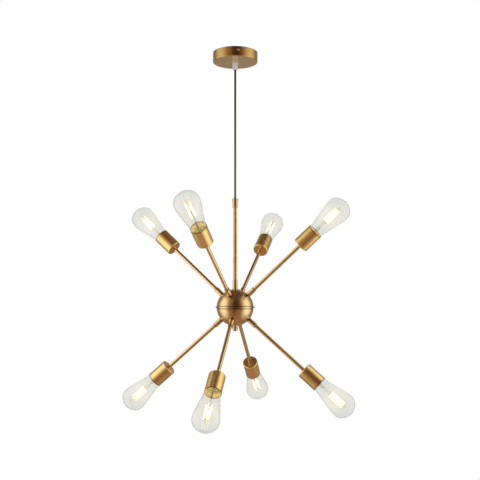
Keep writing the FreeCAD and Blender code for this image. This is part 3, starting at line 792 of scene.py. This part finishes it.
white = colour(1, 1, 1)
boxSizes = {"width": 1.2, "height": 2.4, "distance": 1.35, "turn": 66, "light": 0.8}
cardSizes = {  # metres
    "apart": 0.8,  # from the cord's line to each card
    "forward": -0.175,
    "drop": -0.05,  # of its middle under the ball's
    "halfHeight": 1.55,
    "halfDepth": 0.975,
    "look": colour(1.36, 1.38, 1.42),
    "depthEdges": ((-1.05, -0.16), (-0.10, 0.55)),
    "heightEdges": ((-1.6, -0.1), (0.3, 1.5)),
}
surround = {  # what the metal sees; edges are radians round from the front, or up from level
    "frontTurn": 0.10,
    "frontLook": colour(0.060, 0.022, 0.014),
    "frontLowLook": colour(0.19, 0.080, 0.030),
    "frontLowEdges": (-0.2, -0.8),
    "narrowEdges": (-0.06, -0.28),  # the dark front is narrow under the horizon
    "narrowShift": 0.2,
    "narrowShare": 0.26,
    "sideLook": colour(0.30, 0.185, 0.125),
    "sideEdges": (0.22, 0.65),
    "backLook": colour(0.27, 0.235, 0.20),
    "backEdges": (1.2, 1.9),
    "highLook": colour(0.11, 0.062, 0.060),
    "highEdges": (0.65, 1.15),
    "lowLook": colour(0.40, 0.255, 0.22),
    "lowEdges": (-0.75, -1.2),
    "backdropTurn": (2.75, 2.9),
    "backdropRise": ((-0.26, -0.16), (0.38, 0.48)),
    "fill": 0.7,
}
floorLook = {
    "height": -2.4,
    "radius": 1.15,
    "sides": 96,
    "whiteShares": (0.35, 0.98),  # of the radius, where it turns white
    "pale": colour(0.84, 0.82, 0.81),
    "paler": colour(0.88, 0.86, 0.85),
    "grainScale": 14,
    "mirrored": colour(0.37, 0.235, 0.20),
}


def makeBoxes():
    width, height = boxSizes["width"], boxSizes["height"]
    for side in (-1, 1):
        data = bpy.data.lights.new("softBox", "AREA")
        data.shape = "RECTANGLE"
        data.size, data.size_y = width, height
        data.energy = boxSizes["light"] * math.pi * width * height
        box = bpy.data.objects.new("softBox", data)
        turn = math.radians(boxSizes["turn"]) * side
        way = Vector((math.sin(turn), -math.cos(turn), 0))
        box.location = Vector((0, 0, hang["ballHeight"])) + way * boxSizes["distance"]
        box.rotation_euler = way.to_track_quat("Z", "Y").to_euler()
        box.visible_camera = box.visible_transmission = False
        box.visible_glossy = False  # the metal shows the cards instead, which have soft edges
        scene.collection.objects.link(box)


def cardFinish():
    material, tree = newFinish("lightCard")
    x, y, z = tree.parts(objectPlace(tree))
    rise = z - hang["ballHeight"]
    lit = tree.band(y, *cardSizes["depthEdges"]) * tree.band(rise, *cardSizes["heightEdges"])
    glow = tree.node("Emission", None, {"Color": cardSizes["look"], "Strength": 1.0})
    mixed = tree.node("MixShader", None, {0: lit, 1: tree.node("BsdfTransparent"), 2: glow})
    tree.node("OutputMaterial", None, {"Surface": mixed})
    return material


def makeCards():
    finish = cardFinish()
    size = Matrix.Diagonal((cardSizes["halfHeight"], cardSizes["halfDepth"], 1, 1))
    for side in (-1, 1):
        bm = bmesh.new()
        bmesh.ops.create_grid(bm, x_segments=1, y_segments=1, size=1)
        mesh = bpy.data.meshes.new("lightCard")
        bm.to_mesh(mesh)
        bm.free()
        middle = (cardSizes["apart"] * side, cardSizes["forward"], hang["ballHeight"] + cardSizes["drop"])
        upright = Matrix.Rotation(math.radians(-90 * side), 4, "Y")
        mesh.transform(Matrix.Translation(middle) @ upright @ size)
        mesh.materials.append(finish)
        card = bpy.data.objects.new("lightCard", mesh)
        card.visible_camera = card.visible_diffuse = card.visible_transmission = card.visible_shadow = False
        scene.collection.objects.link(card)


def cameraRays(tree, ray):  # straight from the camera, or through glass
    return tree.maths("MAXIMUM", ray.out("Is Camera Ray"), ray.out("Is Transmission Ray"))


def makeWorld():
    world = bpy.data.worlds.new("studio")
    world.use_nodes = True
    scene.world = world
    tree = Tree(world.node_tree)
    x, y, z = tree.parts(tree.node("TexCoord", output="Generated"))
    turn = tree.maths("ARCTAN2", x, y * -1.0)  # 0 at the front, pi at the back
    rise = tree.maths("ARCSINE", z)
    narrow = tree.ease(rise, *surround["narrowEdges"])
    front = tree.maths("ABSOLUTE", turn - surround["frontTurn"] + narrow * surround["narrowShift"])
    front = front + narrow * surround["narrowShare"]
    around = tree.maths("ABSOLUTE", turn)
    below = tree.ease(rise, *surround["frontLowEdges"])
    look = tree.mix(below, surround["frontLook"], surround["frontLowLook"])
    look = tree.mix(tree.ease(front, *surround["sideEdges"]), look, surround["sideLook"])
    look = tree.mix(tree.ease(around, *surround["backEdges"]), look, surround["backLook"])
    look = tree.mix(tree.ease(rise, *surround["highEdges"]), look, surround["highLook"])
    look = tree.mix(tree.ease(rise, *surround["lowEdges"]), look, surround["lowLook"])
    backdrop = tree.ease(around, *surround["backdropTurn"]) * tree.band(rise, *surround["backdropRise"])
    look = tree.mix(backdrop, look, white)  # the white that the camera sees behind the light
    ray = tree.node("LightPath")
    fill = colour(surround["fill"], surround["fill"], surround["fill"])
    seen = tree.mix(cameraRays(tree, ray), tree.mix(ray.out("Is Glossy Ray"), fill, look), white)
    background = tree.node("Background", None, {"Color": seen, "Strength": 1.0})
    tree.node("OutputWorld", None, {"Surface": background})


def floorFinish():
    material, tree = newFinish("paleFloor")
    place = objectPlace(tree)
    flat = tree.vector("MULTIPLY", place, (1, 1, 0))
    edge = tree.ease(tree.length(flat), *(floorLook["radius"] * share for share in floorLook["whiteShares"]))
    grain = tree.noise(place, floorLook["grainScale"], 3.0)
    pale = tree.node("BsdfDiffuse", None, {"Color": tree.mix(grain, floorLook["pale"], floorLook["paler"])})
    glow = tree.node("Emission", None, {"Color": white, "Strength": 1.0})
    mirroredLook = tree.mix(edge, floorLook["mirrored"], surround["sideLook"])
    mirrored = tree.node("Emission", None, {"Color": mirroredLook, "Strength": 1.0})
    ray = tree.node("LightPath")
    seen = tree.node("MixShader", None, {0: cameraRays(tree, ray) * edge, 1: pale, 2: glow})
    # rays through clear glass are both glossy and transmitted
    inMetal = ray.out("Is Glossy Ray") * (1 - ray.out("Is Transmission Ray"))
    mixed = tree.node("MixShader", None, {0: inMetal, 1: seen, 2: mirrored})
    tree.node("OutputMaterial", None, {"Surface": mixed})
    return material


def makeFloor():
    bm = bmesh.new()
    bmesh.ops.create_circle(bm, cap_ends=True, segments=floorLook["sides"], radius=floorLook["radius"])
    mesh = bpy.data.meshes.new("floor")
    bm.to_mesh(mesh)
    bm.free()
    mesh.transform(Matrix.Translation((0, 0, floorLook["height"])))
    mesh.materials.append(floorFinish())
    floor = bpy.data.objects.new("floor", mesh)
    scene.collection.objects.link(floor)


makeBoxes()
makeCards()
makeWorld()
makeFloor()
print("studio made")
